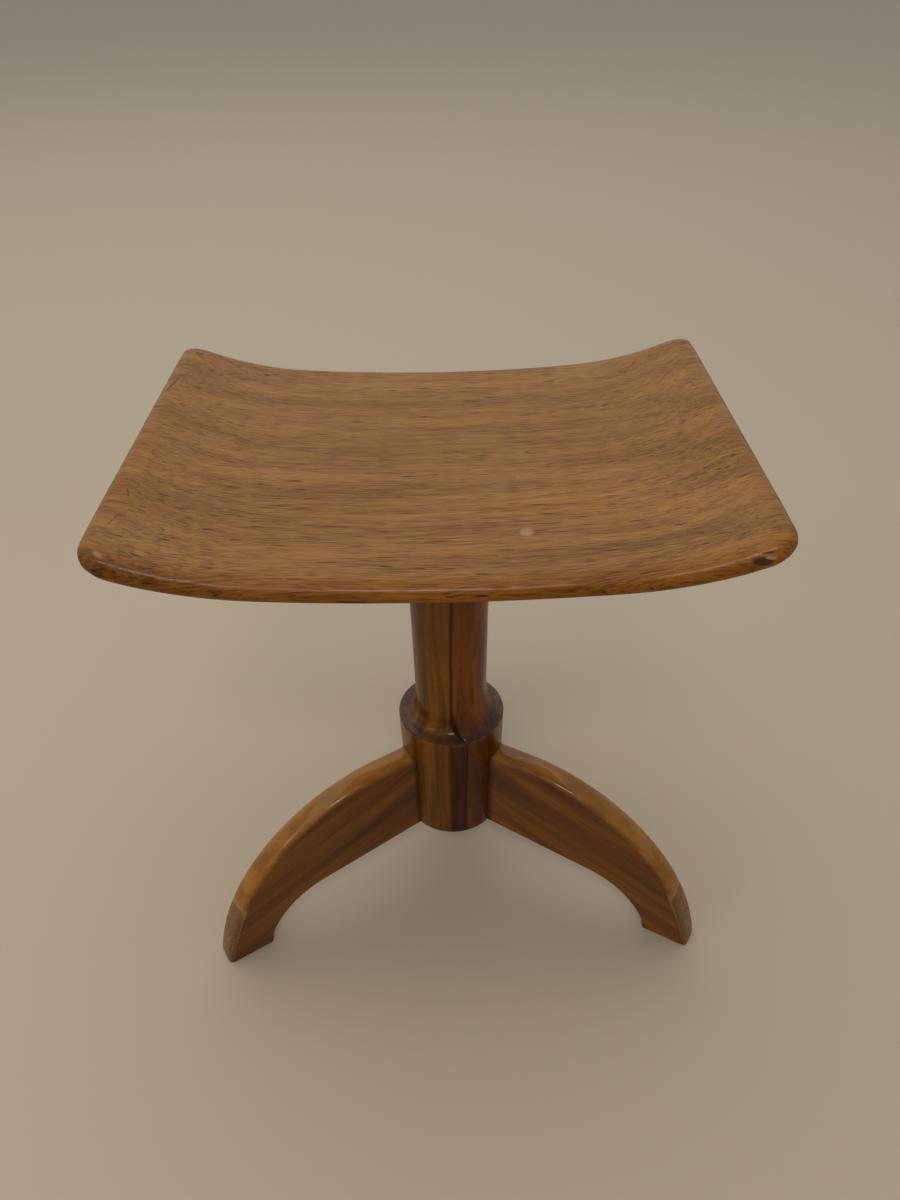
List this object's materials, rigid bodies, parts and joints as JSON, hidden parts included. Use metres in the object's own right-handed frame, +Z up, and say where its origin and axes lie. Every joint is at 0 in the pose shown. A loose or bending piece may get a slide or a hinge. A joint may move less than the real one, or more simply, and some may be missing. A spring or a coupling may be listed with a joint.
{
  "type": "pedestal stool",
  "caption": "Solid-wood stool: a rectangular seat dished from side to side on a turned pedestal with arched tripod legs.",
  "frame": {"origin": "on the floor, under the middle of the bounding box", "axes": "+Z up, +Y to the back (the single leg points there), +X to the right along the seat's long side"},
  "size_m": [0.4488, 0.4103, 0.4759],
  "materials": {
    "seat_wood": "satin varnish",
    "core_wood": "gloss varnish",
    "cheek_wood": "gloss varnish",
    "leg_wood": "gloss varnish",
    "bearer_wood": "thin varnish",
    "dowel_wood": "bare beech",
    "screw_steel": "dull steel"
  },
  "bodies": {
    "root": {"seat": "seat_wood", "seat_bearer": "bearer_wood", "bearer_screws": "screw_steel", "tenon_wedge": "dowel_wood", "column_core": "core_wood", "column_cheek_front": "cheek_wood", "column_cheek_rear": "cheek_wood", "leg_dowels": "dowel_wood", "leg_front_left": "leg_wood", "leg_front_right": "leg_wood", "leg_rear": "leg_wood"}
  },
  "joints": []
}
